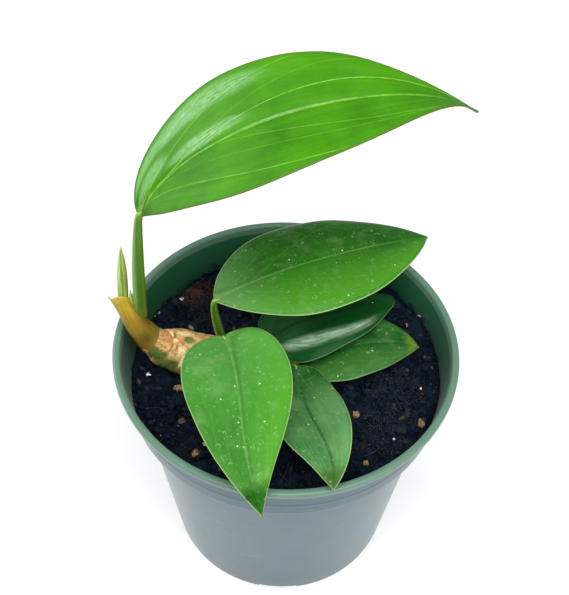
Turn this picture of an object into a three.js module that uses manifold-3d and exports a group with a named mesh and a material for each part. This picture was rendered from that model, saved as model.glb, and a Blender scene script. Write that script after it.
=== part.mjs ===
// A young climbing aroid, sold as a potted pothos, in a round nursery pot.
// Millimetres, +Z up. The origin is the centre of the pot's foot, on the surface it stands on.
// The plant is a thick creeping stem that lies across the soil, with six leaves on stalks,
// a dry sheath around its growing end, one rolled new leaf and its roots in the soil.
import * as THREE from 'three';
import { mergeVertices } from 'three/addons/utils/BufferGeometryUtils.js';
import Module from 'manifold-3d';

const wasm = await Module();
wasm.setup();

// ---------------------------------------------------------------- driving dimensions
const gap = 0.3; // clearance left between two pieces that touch

const potHeight = 89;
const rimRadius = 54; // outer radius of the lip
const lipWidth = 2.2;
const lipHeight = 2.5;
const lipOverhang = 2.5; // of the lip over the collar
const collarHeight = 15; // straight band under the lip
const collarTaper = 1.5;
const collarStep = 3.2; // from the collar in to the body
const bodyTaper = 9.8;
const footCorner = 1.3;
const wall = 1.2; // of the sides and the floor
const drainSlots = 6; // low slots through the floor's edge, where the water runs out
const drainSlotWidth = 13;
const drainSlotHeight = 1.8;
const drainSlotReach = 8; // from the outside in, along the floor
const potSides = 48;

const soilBelowRim = 13; // mean level of the soil's top
const soilRise = 0.03; // rise of the soil towards +X, mm per mm
const soilBump = 0.7;
const soilSides = 32;
const soilRings = 5;

// The plant below is drawn for this rim radius, standing on soil at height 0, and grows
// with the rim, because its sheath and two of its leaf tips reach over it.
const plantRimRadius = 54;
const bladeThickness = 0.9;
const bladeTipHalfWidth = 0.35;
const bladeSteps = 16;
const bladeHalfSteps = 3;
const petioleSteps = 6;

// ---------------------------------------------------------------- small helpers
const vector = ([x, y, z]) => new THREE.Vector3(x, y, z);

function solidOf(geometry) {
  const bare = new THREE.BufferGeometry();
  bare.setAttribute('position', geometry.getAttribute('position').clone());
  if (geometry.index) bare.setIndex(geometry.index.clone());
  const merged = mergeVertices(bare, 1e-4);
  return new wasm.Manifold(new wasm.Mesh({
    numProp: 3,
    vertProperties: new Float32Array(merged.getAttribute('position').array),
    triVerts: new Uint32Array(merged.index.array),
  }));
}

function geometryOf(solid) {
  const mesh = solid.getMesh();
  const geometry = new THREE.BufferGeometry();
  geometry.setAttribute('position', new THREE.BufferAttribute(mesh.vertProperties, 3));
  geometry.setIndex(new THREE.BufferAttribute(mesh.triVerts, 1));
  geometry.computeVertexNormals();
  return geometry;
}

function cutAway(geometry, cutters) {
  let solid = solidOf(geometry);
  for (const cutter of cutters) solid = solid.subtract(solidOf(cutter));
  return geometryOf(solid);
}

function mapVertices(geometry, place) {
  const position = geometry.getAttribute('position');
  const vertex = new THREE.Vector3();
  for (let i = 0; i < position.count; i++) {
    vertex.fromBufferAttribute(position, i);
    const placed = place(vertex);
    position.setXYZ(i, placed.x, placed.y, placed.z);
  }
  geometry.computeVertexNormals();
  return geometry;
}

// A round stem along a smooth path. Each stop is [x, y, z, radius]; grow thickens it and
// lengthens both ends, which is how a neighbour makes room for it.
function stem(stops, steps, sides, grow = 0) {
  const path = new THREE.CatmullRomCurve3(stops.map(vector), false, 'centripetal');
  const radiusAt = (u) => {
    const along = u * (stops.length - 1);
    const i = Math.min(Math.floor(along), stops.length - 2);
    return THREE.MathUtils.lerp(stops[i][3], stops[i + 1][3], along - i) + grow;
  };
  const reference = new THREE.Vector3(0, 1, 0);
  return mapVertices(new THREE.CylinderGeometry(1, 1, 1, sides, steps), (corner) => {
    const u = corner.y + 0.5;
    const tangent = path.getTangent(u);
    const across = new THREE.Vector3().crossVectors(reference, tangent).normalize();
    const up = new THREE.Vector3().crossVectors(across, tangent);
    const radius = radiusAt(u);
    return path.getPoint(u)
      .addScaledVector(across, corner.x * radius)
      .addScaledVector(up, corner.z * radius)
      .addScaledVector(tangent, grow * Math.sign(u - 0.5));
  });
}

// ---------------------------------------------------------------- pot
const collarFoot = potHeight - collarHeight - lipHeight;
const collarTopRadius = rimRadius - lipOverhang;
const collarFootRadius = collarTopRadius - collarTaper;
const bodyTopRadius = collarFootRadius - collarStep;
const footRadius = bodyTopRadius - bodyTaper;


// Corners of the inner wall, [radius, height], from the floor to the rim.
const innerWall = [
  [footRadius - wall, wall],
  [bodyTopRadius - wall, collarFoot],
  [collarFootRadius - wall, collarFoot + wall],
  [rimRadius - lipWidth, potHeight],
];

function innerRadius(z) {
  const i = Math.max(innerWall.findIndex(([, height]) => height > z), 1);
  const [[lowRadius, low], [highRadius, high]] = innerWall.slice(i - 1, i + 1);
  return THREE.MathUtils.mapLinear(z, low, high, lowRadius, highRadius);
}

function potGeometry() {
  const bevel = 0.3;
  const profile = [
    [0, 0],
    [footRadius - footCorner, 0],
    [footRadius - 0.3 * footCorner, 0.3 * footCorner],
    [footRadius, footCorner],
    [bodyTopRadius, collarFoot - bevel],
    [collarFootRadius, collarFoot],
    [collarTopRadius, potHeight - lipHeight],
    [rimRadius, potHeight - lipHeight],
    [rimRadius, potHeight - bevel],
    [rimRadius - bevel, potHeight],
    ...innerWall.toReversed(),
    [0, wall],
  ].map(([r, z]) => new THREE.Vector2(r, z));
  const shell = new THREE.LatheGeometry(profile, potSides).rotateX(Math.PI / 2);

  const slots = [];
  for (let i = 0; i < drainSlots; i++) {
    const angle = (i / drainSlots) * 2 * Math.PI - Math.PI / 2;
    const slot = new THREE.BoxGeometry(2 * drainSlotReach, drainSlotWidth, 2 * drainSlotHeight);
    slots.push(slot.translate(footRadius, 0, 0).rotateZ(angle));
  }
  return cutAway(shell, slots);
}

// ---------------------------------------------------------------- stem, sheath and new shoot
const soilLevel = potHeight - soilBelowRim;
const plantScale = rimRadius / plantRimRadius;

// A point of the plant, [x, y, z] or [x, y, z, radius], put on the soil at its size.
function onSoil([x, y, z, ...radius]) {
  const sized = [x, y, z, ...radius].map((value) => value * plantScale);
  sized[2] += soilLevel;
  return sized;
}

const rhizomeStops = [
  [-40.2, 0.6, 10.2, 4.6],
  [-38.6, 1, 8.7, 6],
  [-34, 2, 6, 7],
  [-27.5, 1.6, 4, 7.2],
  [-20, 2.5, 2.4, 6.4],
  [-12, 3.4, 0.8, 5],
  [-6, 3, -0.4, 3.6],
  [-3.2, 2.6, -0.8, 1.6],
].map(onSoil);
const rhizome = (grow = 0) => stem(rhizomeStops, 20, 12, grow);

const sheathStops = [
  [-39.4, 0.6, 9.4, 5.2],
  [-41.9, 0, 12.5, 4.7],
  [-45.1, 0.4, 17.5, 4.2],
  [-49.6, 3.2, 23.6, 3.1],
  [-52.4, 3, 27.4, 2],
  [-54, 2.4, 31, 0.5],
].map(onSoil);
const sheath = (grow = 0) => stem(sheathStops, 14, 10, grow);

const shootStops = [
  [-50.6, 5.6, 25, 1.3],
  [-50.5, 7.6, 32, 1.6],
  [-50.3, 7.8, 38, 1.5],
  [-50, 8, 46.5, 0.3],
].map(onSoil);

// ---------------------------------------------------------------- leaves
// The midrib is a cubic Bezier curve. halfWidth is the blade's greatest half width;
// fullness and taper set how fast it widens from the stalk and narrows to the tip.
// roll turns the blade about its midrib at [stalk, tip], in degrees. cup lifts both halves
// like a shallow V, droop bends their edges down, and lobe sets the base behind the stalk.
// tipAboveRim places a tip that reaches over the rim.
const leaves = [
  {
    midrib: [[-43, 2, 65], [-34, 14.5, 88], [26, 12.5, 115.5], [53, 37, 78.5]],
    halfWidth: 24, fullness: 1.18, taper: 1.8, roll: [-9, 13], cup: 0.16, droop: 0.09, lobe: 4,
    stalkFoot: [-45.4, 3.2, 21.5], stalkRadius: 1.6,
  },
  {
    midrib: [[-22.3, 1.3, 31.5], [-7.5, 11.5, 35], [22.5, 24.5, 33.5], [44, 34.7, 27.5]],
    halfWidth: 19, fullness: 0.89, taper: 0.91, roll: [4, -7.5], cup: 0.04, droop: 0.13, lobe: 1.4,
    stalkFoot: [-20.6, 4.6, 6], stalkRadius: 1.25,
  },
  {
    midrib: [[-19, -5, 23], [-11, -28, 28.5], [-14, -45, 29], [-5.2, -63, 16]],
    halfWidth: 16, fullness: 0.41, taper: 0.97, roll: [5, -10], cup: 0.2, droop: 0.06, lobe: 1.9,
    stalkFoot: [-15.5, 0.5, 5], stalkRadius: 1.25, tipAboveRim: 3,
  },
  {
    midrib: [[-5.2, 5.4, 7.5], [9, 16, 13.5], [23, 8.6, 17], [33.6, 23.7, 10.5]],
    halfWidth: 14.6, fullness: 0.31, taper: 0.93, roll: [-7, -3], cup: 0.05, droop: 0.14, lobe: 1.8,
    stalkFoot: [-11.5, 4.4, 3], stalkRadius: 1.1,
  },
  {
    midrib: [[4, 2, 1.8], [16, 3.2, 8.5], [31, 8.4, 10], [42.5, 8.7, 3.3]],
    halfWidth: 12.8, fullness: 0.52, taper: 0.85, roll: [0, 1.5], cup: 0.13, droop: 0.07, lobe: 2.1,
    stalkFoot: [-5, 3.2, 0], stalkRadius: 1,
  },
  {
    midrib: [[3.1, -3.8, 8], [3.4, -25.5, 8.2], [13.6, -37, 23], [14.5, -53.3, 15.7]],
    halfWidth: 12, fullness: 0.42, taper: 0.81, roll: [-12, 10], cup: 0.17, droop: 0.08, lobe: 3.6,
    stalkFoot: [-4.5, 1, 0.8], stalkRadius: 1.05, tipAboveRim: 2.7,
  },
];

for (const leaf of leaves) {
  leaf.midrib = leaf.midrib.map(onSoil);
  leaf.stalkFoot = onSoil(leaf.stalkFoot);
  for (const size of ['halfWidth', 'lobe', 'stalkRadius']) leaf[size] *= plantScale;
  if (leaf.tipAboveRim) leaf.midrib[3][2] = potHeight + leaf.tipAboveRim;
}

function halfWidthAt(leaf, u) {
  const widest = leaf.fullness / (leaf.fullness + leaf.taper);
  const rise = (u / widest) ** leaf.fullness;
  const fall = ((1 - u) / (1 - widest)) ** leaf.taper;
  return Math.max(leaf.halfWidth * rise * fall, bladeTipHalfWidth);
}

function bladeGeometry(leaf) {
  const midrib = new THREE.CubicBezierCurve3(...leaf.midrib.map(vector));
  const up = new THREE.Vector3(0, 0, 1);
  const box = new THREE.BoxGeometry(1, 1, 1, bladeSteps, 2 * bladeHalfSteps, 1);
  return mapVertices(box, (corner) => {
    const u = (1 - Math.cos(Math.PI * (corner.x + 0.5))) / 2;
    const v = 2 * corner.y;
    const tangent = midrib.getTangent(u);
    const across = new THREE.Vector3().crossVectors(up, tangent).normalize();
    const roll = THREE.MathUtils.degToRad(THREE.MathUtils.lerp(leaf.roll[0], leaf.roll[1], u));
    across.applyAxisAngle(tangent, roll);
    const normal = new THREE.Vector3().crossVectors(tangent, across);
    const reach = v * halfWidthAt(leaf, u);
    const lift = leaf.cup * Math.abs(reach) - leaf.droop * reach ** 2 / leaf.halfWidth;
    const setBack = leaf.lobe * Math.abs(reach / leaf.halfWidth) ** 1.5 * (1 - u) ** 8;
    const thickness = bladeThickness * (1 - 0.4 * v * v);
    return midrib.getPoint(u)
      .addScaledVector(across, reach)
      .addScaledVector(normal, lift + corner.z * thickness)
      .addScaledVector(tangent, -setBack);
  });
}

// The stalk leaves the stem, bends and ends just short of the blade, in line with it.
function petioleStops(leaf) {
  const foot = vector(leaf.stalkFoot);
  const tip = vector(leaf.midrib[0]);
  const intoBlade = vector(leaf.midrib[1]).sub(tip).normalize();
  tip.addScaledVector(intoBlade, -gap);
  const bend = foot.clone().lerp(tip, 0.55).addScaledVector(intoBlade, -0.06 * foot.distanceTo(tip));
  return [
    [...foot.toArray(), leaf.stalkRadius * 1.15],
    [...bend.toArray(), leaf.stalkRadius],
    [...tip.toArray(), leaf.stalkRadius * 0.8],
  ];
}
const petiole = (leaf, grow = 0) => stem(petioleStops(leaf), petioleSteps, 8, grow);

// ---------------------------------------------------------------- roots
// Each root starts inside the stem and runs down through the soil.
const roots = [
  [[-33, 2, 4, 1.3], [-35, 6, -10, 1.2], [-31, 12, -28, 1], [-26, 9, -46, 0.5]],
  [[-26, 1, 2, 1.3], [-28, -9, -12, 1.2], [-24, -20, -26, 1], [-20, -22, -42, 0.5]],
  [[-18, 3, 1, 1.2], [-16, 12, -14, 1.1], [-8, 20, -32, 0.9], [-4, 22, -50, 0.5]],
  [[-12, 3, 0, 1.2], [-8, -6, -16, 1.1], [2, -12, -34, 0.9], [8, -12, -52, 0.5]],
  [[-8, 3.2, -1, 1.1], [2, 5, -14, 1], [14, 6, -26, 0.8], [20, 3, -40, 0.5]],
].map((stops) => stops.map(onSoil));
const root = (stops, grow = 0) => stem(stops, 9, 6, grow);

// ---------------------------------------------------------------- soil and what lies on it
function soilTop(x, y) {
  const bumps = Math.sin(0.21 * x + 0.8) * Math.cos(0.17 * y - 0.4);
  return soilLevel + soilRise * x + soilBump * bumps;
}

// [name, x, y, half sizes [x, y, z], turn in radians, colour]
const grit = [
  ['pebble', -33.5, -8.2, [2.1, 1.7, 1.5], 0.4, '#8a6a4c'],
  ['bark_chip_1', 22, -17, [1.9, 1.3, 1], 0.9, '#a08258'],
  ['bark_chip_2', 25.2, -34.5, [1.6, 1.2, 0.9], 2.1, '#80603c'],
  ['bark_chip_3', -26.2, -32.6, [1.8, 1.3, 1], 1.3, '#94744a'],
  ['bark_chip_4', -23.2, -28.6, [1.5, 1.2, 0.9], 0.2, '#a89a50'],
  ['bark_chip_5', -31, 31.5, [3, 2.3, 1.4], 0.6, '#6b4128'],
  ['bark_chip_6', 42.4, -19.5, [2, 1, 0.9], 1.2, '#7a6a50'],
  ['perlite_1', -35.6, 29.4, [1, 0.9, 0.8], 0, '#e8e6dd'],
  ['perlite_2', -43.6, -2.4, [1.1, 0.9, 0.9], 0.7, '#d9d2bf'],
  ['perlite_3', 43, -6.5, [0.9, 0.8, 0.7], 0.3, '#e5e2d8'],
  ['perlite_4', 34, -26, [0.9, 0.9, 0.7], 1.1, '#dedacb'],
  ['perlite_5', 8, 36, [1, 0.8, 0.8], 0.5, '#e6e3da'],
].map(([name, x, y, half, turn, colour]) => ({
  name,
  x: x * plantScale,
  y: y * plantScale,
  half: half.map((size) => size * plantScale),
  turn,
  colour,
}));

function grain({ x, y, half, turn }, grow = 0) {
  const lump = new THREE.IcosahedronGeometry(1, half[0] > 1.2 ? 1 : 0);
  lump.scale(...half.map((size) => size + grow)).rotateZ(turn);
  return lump.translate(x, y, soilTop(x, y) + 0.2 * half[2]);
}

function soilGeometry() {
  const profile = [[0, wall + gap]];
  for (const [radius, z] of innerWall.slice(0, 3)) profile.push([radius - gap, z + gap]);
  const edge = innerRadius(soilLevel) - gap;
  for (let i = soilRings; i >= 0; i--) profile.push([(edge * i) / soilRings, soilLevel]);
  const body = new THREE.LatheGeometry(profile.map(([r, z]) => new THREE.Vector2(r, z)), soilSides);
  body.rotateX(Math.PI / 2);
  mapVertices(body, ({ x, y, z }) => {
    if (z < soilLevel - 0.01) return new THREE.Vector3(x, y, z);
    const top = soilTop(x, y);
    const spread = (innerRadius(top) - gap) / edge;
    return new THREE.Vector3(x * spread, y * spread, top);
  });
  const pieces = [rhizome(gap), ...roots.map((stops) => root(stops, gap))];
  for (const leaf of leaves) pieces.push(petiole(leaf, gap));
  for (const lump of grit) pieces.push(grain(lump, gap));
  return cutAway(body, pieces);
}

// ---------------------------------------------------------------- assembly
const plant = new THREE.Group();

function add(name, geometry, color, roughness) {
  const material = new THREE.MeshStandardMaterial({ color, roughness, metalness: 0 });
  const mesh = new THREE.Mesh(geometry, material);
  mesh.name = name;
  plant.add(mesh);
}

add('pot', potGeometry(), '#4f7a66', 0.5);
add('soil', soilGeometry(), '#14191f', 0.95);
add('rhizome', rhizome(), '#bc9654', 0.55);
add('leaf_sheath', cutAway(sheath(), [rhizome(gap)]), '#b9a23c', 0.5);
add('new_shoot', cutAway(stem(shootStops, 8, 8), [sheath(gap)]), '#86aa43', 0.4);

leaves.forEach((leaf, i) => {
  const stalk = cutAway(petiole(leaf), [rhizome(gap), sheath(gap)]);
  add(`leaf_${i + 1}_petiole`, stalk, '#3f7209', 0.4);
  add(`leaf_${i + 1}_blade`, cutAway(bladeGeometry(leaf), [petiole(leaf, gap)]), '#4d8d3f', 0.35);
});

roots.forEach((stops, i) => {
  add(`root_${i + 1}`, cutAway(root(stops), [rhizome(gap)]), '#c9b68c', 0.7);
});

for (const lump of grit) add(lump.name, grain(lump), lump.colour, 0.85);

export default plant;
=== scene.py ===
"""A young climbing aroid, sold as a potted pothos, in a round green nursery pot.

Lengths in the plant's own specs are millimetres; Blender's are metres.
The plant is drawn standing on soil at height 0 and is seated on the CAD frame by its big leaf.
"""
import math
import random

import bmesh
import bpy
import numpy as np
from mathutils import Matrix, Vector, noise


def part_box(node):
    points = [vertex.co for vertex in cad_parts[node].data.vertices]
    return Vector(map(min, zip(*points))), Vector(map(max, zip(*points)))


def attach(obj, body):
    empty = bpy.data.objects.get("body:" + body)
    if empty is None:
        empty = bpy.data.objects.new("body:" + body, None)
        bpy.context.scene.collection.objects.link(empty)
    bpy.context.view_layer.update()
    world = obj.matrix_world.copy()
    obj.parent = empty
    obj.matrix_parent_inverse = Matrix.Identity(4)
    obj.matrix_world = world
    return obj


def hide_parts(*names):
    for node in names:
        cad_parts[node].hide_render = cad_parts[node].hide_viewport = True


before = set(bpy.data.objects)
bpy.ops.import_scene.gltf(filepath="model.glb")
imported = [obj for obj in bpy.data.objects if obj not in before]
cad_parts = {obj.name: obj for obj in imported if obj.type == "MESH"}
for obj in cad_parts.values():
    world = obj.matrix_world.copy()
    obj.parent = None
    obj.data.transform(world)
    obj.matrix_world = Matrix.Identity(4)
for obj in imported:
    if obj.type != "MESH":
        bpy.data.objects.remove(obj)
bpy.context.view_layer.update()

MM = 0.001
BODY = "root"

# ---- shader maths


def shader_colour(colour):
    """Linear RGBA from a display colour of three numbers, 0 to 255; anything else as it is."""
    if not isinstance(colour, tuple) or len(colour) != 3:
        return colour
    shares = [value / 255 for value in colour]
    return (*(v / 12.92 if v <= 0.04045 else ((v + 0.055) / 1.055) ** 2.4 for v in shares), 1.0)


class Value:
    """A number on a socket. Python's operators add the Math nodes."""

    def __init__(self, finish, socket):
        self.finish = finish
        self.socket = socket

    def math(self, operation, *terms):
        return self.finish.add("ShaderNodeMath", {"operation": operation}, dict(enumerate(terms)))

    def __add__(self, other):
        return self.math("ADD", self, other)

    def __radd__(self, other):
        return self.math("ADD", other, self)

    def __sub__(self, other):
        return self.math("SUBTRACT", self, other)

    def __rsub__(self, other):
        return self.math("SUBTRACT", other, self)

    def __mul__(self, other):
        return self.math("MULTIPLY", self, other)

    def __rmul__(self, other):
        return self.math("MULTIPLY", other, self)

    def __truediv__(self, other):
        return self.math("DIVIDE", self, other)

    def __rtruediv__(self, other):
        return self.math("DIVIDE", other, self)

    def __pow__(self, other):
        return self.math("POWER", self, other)

    def __abs__(self):
        return self.math("ABSOLUTE", self)

    def between(self, low, high):
        """0 at low, 1 at high and smooth between; low may be the larger of the two."""
        settings = {"interpolation_type": "SMOOTHSTEP"}
        return self.finish.add("ShaderNodeMapRange", settings, {0: self, 1: low, 2: high})

    def line(self, width):
        """1 where the value is 0, falling to 0 at width on both sides."""
        return abs(self).between(width, 0)

    def largest(self, other):
        return self.math("MAXIMUM", self, other)


class Finish:
    """A procedural material under construction."""

    def __init__(self, name):
        self.material = bpy.data.materials.new(name)
        self.material.use_nodes = True
        self.tree = self.material.node_tree
        self.shader = self.tree.nodes["Principled BSDF"]
        self.colour = None

    def add(self, kind, settings=None, inputs=None, output=0):
        """Adds a node: settings first, then the values or links of its sockets."""
        node = self.tree.nodes.new(kind)
        for name, setting in (settings or {}).items():
            if name == "stops":
                self.set_stops(node.color_ramp, setting)
            else:
                setattr(node, name, setting)
        for key, value in (inputs or {}).items():
            self.feed(node.inputs[key], value)
        return Value(self, node.outputs[output])

    def feed(self, socket, value):
        if isinstance(value, Value):
            self.tree.links.new(value.socket, socket)
        else:
            socket.default_value = value

    @staticmethod
    def set_stops(ramp, stops):
        while len(ramp.elements) < len(stops):
            ramp.elements.new(0.5)
        for element, (position, colour) in zip(ramp.elements, stops):
            element.position = position
            element.color = shader_colour(colour)

    def place(self, scale=(1, 1, 1)):
        """Object position in millimetres, times scale on each axis."""
        where = self.add("ShaderNodeTexCoord", output=3)
        sizes = [axis / MM for axis in scale]
        return self.add("ShaderNodeVectorMath", {"operation": "MULTIPLY"}, {0: where, 1: sizes})

    def stored(self, name):
        """A number kept on the mesh's points."""
        return self.add("ShaderNodeAttribute", {"attribute_name": name}, output=2)

    def vector(self, x, y, z):
        return self.add("ShaderNodeCombineXYZ", None, {0: x, 1: y, 2: z})

    def noise(self, where, scale, detail=2.0, rough=0.5):
        inputs = {"Vector": where, "Scale": scale, "Detail": detail, "Roughness": rough}
        return self.add("ShaderNodeTexNoise", None, inputs)

    def cells(self, where, scale):
        """Distance from the middle of each cell."""
        return self.add("ShaderNodeTexVoronoi", None, {"Vector": where, "Scale": scale})

    def cell_colour(self, where, scale):
        """One random number for each cell."""
        inputs = {"Vector": where, "Scale": scale}
        colour = self.add("ShaderNodeTexVoronoi", None, inputs, output=1)
        return self.add("ShaderNodeSeparateColor", None, {0: colour})

    def dots(self, where, scale, rim, share):
        """Round spots, soft over the distances rim, in the cells whose number is past share."""
        inner, outer = rim
        chosen = self.cell_colour(where, scale).between(*share)
        return self.cells(where, scale).between(outer, inner) * chosen

    def mix(self, factor, first, second):
        """Blends two colours."""
        inputs = {0: factor, 6: shader_colour(first), 7: shader_colour(second)}
        return self.add("ShaderNodeMix", {"data_type": "RGBA"}, inputs, output=2)

    def paint(self, factor, colour):
        """Lays a colour over the finish's colour so far."""
        self.colour = self.mix(factor, self.colour, colour)

    def ramp(self, value, stops):
        return self.add("ShaderNodeValToRGB", {"stops": stops}, {0: value})

    def bump(self, height, strength, distance_mm):
        inputs = {"Height": height, "Strength": strength, "Distance": distance_mm * MM}
        return self.add("ShaderNodeBump", None, inputs)

    def surface(self, rough, normal=None, gloss=0.5, **sockets):
        """Sets the shader's sockets; Emission_Color means Emission Color."""
        sockets.update(Base_Color=self.colour, Roughness=rough, Specular_IOR_Level=gloss)
        if normal:
            sockets["Normal"] = normal
        for name, value in sockets.items():
            self.feed(self.shader.inputs[name.replace("_", " ")], value)
        return self.material


# ---- mesh building


def add_object(name, data):
    thing = bpy.data.objects.new(name, data)
    bpy.context.scene.collection.objects.link(thing)
    return thing


def build(name, points_mm, faces, material, replaces=(), stored=None):
    """A mesh piece from points in millimetres, riding on the object's one body."""
    mesh = bpy.data.meshes.new(name)
    mesh.from_pydata((np.asarray(points_mm) * MM).tolist(), [], faces)
    for key, values in (stored or {}).items():
        layer = mesh.attributes.new(key, "FLOAT", "POINT")
        layer.data.foreach_set("value", np.asarray(values, np.float32))
    mesh.shade_smooth()
    piece = add_object(name, mesh)
    mesh.materials.append(material)
    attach(piece, BODY)
    if replaces:
        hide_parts(*replaces)
    return piece


def unit(vectors):
    return vectors / np.linalg.norm(vectors, axis=-1, keepdims=True)


def turbulence(points, size, octaves=3, seed=0.0):
    """Smooth noise, about -1 to 1, at each point; size is the widest bump in millimetres."""
    shift = Vector((seed * 13.7, seed * 5.3, seed * 9.1))
    return np.array([
        noise.fractal(Vector(p) / size + shift, 0.9, 2.1, octaves) for p in np.asarray(points)
    ])


def grid_faces(rows, columns, wrap=False, first=0, flip=False):
    """Quads of a grid of points stored row by row; wrap joins the last column to the first."""
    faces = []
    last = columns if wrap else columns - 1
    for i in range(rows - 1):
        for j in range(last):
            k = (j + 1) % columns
            a, b = first + i * columns + j, first + i * columns + k
            quad = (a, b, b + columns, a + columns)
            faces.append(quad[::-1] if flip else quad)
    return faces


def closed_faces(rows, sides, flip=False):
    """A grid wrapped into a tube, with a face over each end."""
    faces = grid_faces(rows, sides, wrap=True)
    faces.append(tuple(range(sides))[::-1])
    faces.append(tuple(range((rows - 1) * sides, rows * sides)))
    return [face[::-1] for face in faces] if flip else faces


def joined(parts):
    """One set of points and faces from many."""
    faces, count = [], 0
    for points, part_faces in parts:
        faces += [tuple(corner + count for corner in face) for face in part_faces]
        count += len(points)
    return np.vstack([points for points, _ in parts]), faces


def turns(sides):
    """Even angles once round."""
    return np.arange(sides) * 2 * math.pi / sides


def spline(stops, samples):
    """Smooth curve through stops, any number of columns; returns samples rows."""
    stops = np.asarray(stops, float)
    at = np.linspace(0, len(stops) - 1, samples)
    i = np.clip(at.astype(int), 0, len(stops) - 2)
    t = (at - i)[:, None]
    padded = np.vstack([2 * stops[0] - stops[1], stops, 2 * stops[-1] - stops[-2]])
    a, b, c, d = (padded[i + k] for k in range(4))
    return 0.5 * (2 * b + (c - a) * t + (2 * a - 5 * b + 4 * c - d) * t**2
                  + (3 * b - a - 3 * c + d) * t**3)


def tube_frames(path):
    """Across and up directions along a path, square to it."""
    tangent = unit(np.gradient(path, axis=0))
    across = unit(np.cross(np.array([0.0, 1.0, 0.0]), tangent))
    return across, np.cross(tangent, across)


def around(rows, sides):
    """Place along, 0 to 1, and angle of each point of a tube."""
    return np.repeat(np.linspace(0, 1, rows), sides), np.tile(turns(sides), rows)


def tube(stops, rows, sides, shape=None):
    """A closed tube through stops of [x, y, z, radius]. shape(s, angle) scales the radius.

    Returns points, faces, and for each point its place along (0 to 1) and its angle.
    """
    course = spline(stops, rows)
    path, radius = course[:, :3], np.maximum(course[:, 3], 0.05)
    across, up = tube_frames(path)
    s, angle = around(rows, sides)
    reach = np.repeat(radius, sides)
    if shape is not None:
        reach = reach * shape(s, angle)
    points = (np.repeat(path, sides, 0)
              + np.repeat(across, sides, 0) * (reach * np.cos(angle))[:, None]
              + np.repeat(up, sides, 0) * (reach * np.sin(angle))[:, None])
    return points, closed_faces(rows, sides), s, angle


# ---- the plant's measurements
# Midribs are cubic Bezier curves. half_width is the blade's greatest half width, fullness and
# taper set how fast it widens from the stalk and narrows to the tip, and roll turns the blade
# about its midrib at (stalk, tip) in degrees. cup lifts both halves like a shallow V, droop
# bends their edges down, lobe sets the base behind the stalk, wave ripples the edges and curl
# rolls them under. foot is where the stalk starts and stalk is its radius. blunt fills out the
# tip on the right and the left side, each by (width, length).
# A side vein is (side, start, slope, strength): it lies at start + slope * length, as a share
# of the half width, on the left (1) or right (-1) of the midrib as seen from the stalk.

LEAVES = [
    dict(midrib=[(-43, 2, 65), (-34, 14.5, 88), (26, 12.5, 115.5), (53, 37, 78.5)],
         half_width=24, fullness=1.18, taper=1.8, roll=(-9, 13), cup=0.16, droop=0.09, lobe=4,
         foot=(-45.2, 3.2, 21.5), stalk=1.85, wave=0.3, curl=0.25, rows=240, columns=81,
         veins=[(1, 0.14, 1.5, 0.75), (1, -0.09, 0.8, 1.0), (1, -0.3, 1.77, 0.3),
                (1, 0.42, 1.5, 0.3), (-1, 0.43, 0.9, 0.8), (-1, -0.44, 1.5, 0.45),
                (-1, 0.02, 1.0, 0.3)]),
    dict(midrib=[(-22.3, 1.3, 31.5), (-7.5, 11.5, 35), (22.5, 24.5, 33.5), (44, 34.7, 27.5)],
         half_width=19, fullness=0.89, taper=0.91, roll=(4, -7.5), cup=0.04, droop=0.13, lobe=1.4,
         foot=(-19.8, 4.6, 6), stalk=1.4, wave=0.25, curl=0.4, rows=180, columns=61,
         veins=[(1, -0.3, 1.7, 0.5), (1, 0.06, 1.8, 0.4), (1, -0.75, 1.7, 0.25),
                (-1, -0.2, 1.3, 0.2), (-1, 0.2, 1.1, 0.2)]),
    dict(midrib=[(-19, -5, 23), (-11, -28, 28.5), (-14, -45, 29), (-5.2, -63, 16)],
         half_width=16, fullness=0.41, taper=0.97, roll=(5, -10), cup=0.2, droop=0.06, lobe=1.9,
         foot=(-15.5, 0.5, 5), stalk=1.25, wave=0.25, curl=0.35, rows=180, columns=61,
         veins=[(1, 0.12, 0.9, 0.25), (-1, 0.14, 0.9, 0.25), (1, -0.3, 1.3, 0.2),
                (-1, -0.4, 1.3, 0.2)]),
    dict(midrib=[(-5.2, 5.4, 7.5), (9, 16, 13.5), (23, 8.6, 17), (33.6, 23.7, 10.5)],
         half_width=14.6, fullness=0.31, taper=0.93, roll=(-7, -3), cup=0.05, droop=0.14, lobe=1.8,
         foot=(-11.5, 4.4, 3), stalk=1.1, wave=0.15, curl=0.9, rows=140, columns=61,
         blunt=[(3.9, 0.14), (8.2, 0.34)],
         veins=[(-1, 0.28, 0.5, 0.3), (1, 0.3, 0.6, 0.3), (-1, -0.2, 0.9, 0.2)]),
    dict(midrib=[(4, 2, 1.8), (16, 3.2, 8.5), (31, 8.4, 10), (42.5, 8.7, 3.3)],
         half_width=12.8, fullness=0.52, taper=0.85, roll=(0, 1.5), cup=0.13, droop=0.07, lobe=2.1,
         foot=(-5, 3.2, 0), stalk=1, wave=0.2, curl=0.3, rows=140, columns=53,
         veins=[(1, 0.12, 0.7, 0.4), (-1, 0.2, 0.8, 0.35), (-1, -0.2, 1.0, 0.3),
                (1, 0.5, 0.6, 0.25)]),
    dict(midrib=[(3.1, -3.8, 8), (3.4, -25.5, 8.2), (13.6, -37, 23), (14.5, -53.3, 15.7)],
         half_width=12, fullness=0.42, taper=0.81, roll=(-12, 10), cup=0.17, droop=0.08, lobe=3.6,
         foot=(-4.5, 1, 0.8), stalk=1.05, wave=0.2, curl=0.3, rows=150, columns=53,
         veins=[(-1, 0.2, 0.6, 0.4), (1, 0.3, 0.7, 0.35), (1, -0.2, 1.0, 0.25)]),
]
BLADE_THICKNESS = 0.7
BLADE_EDGE = 0.22
BLADE_TIP = 0.35  # half width at both ends
MIDRIB_DENT = 0.42
MIDRIB_RIDGE = 0.75
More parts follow.
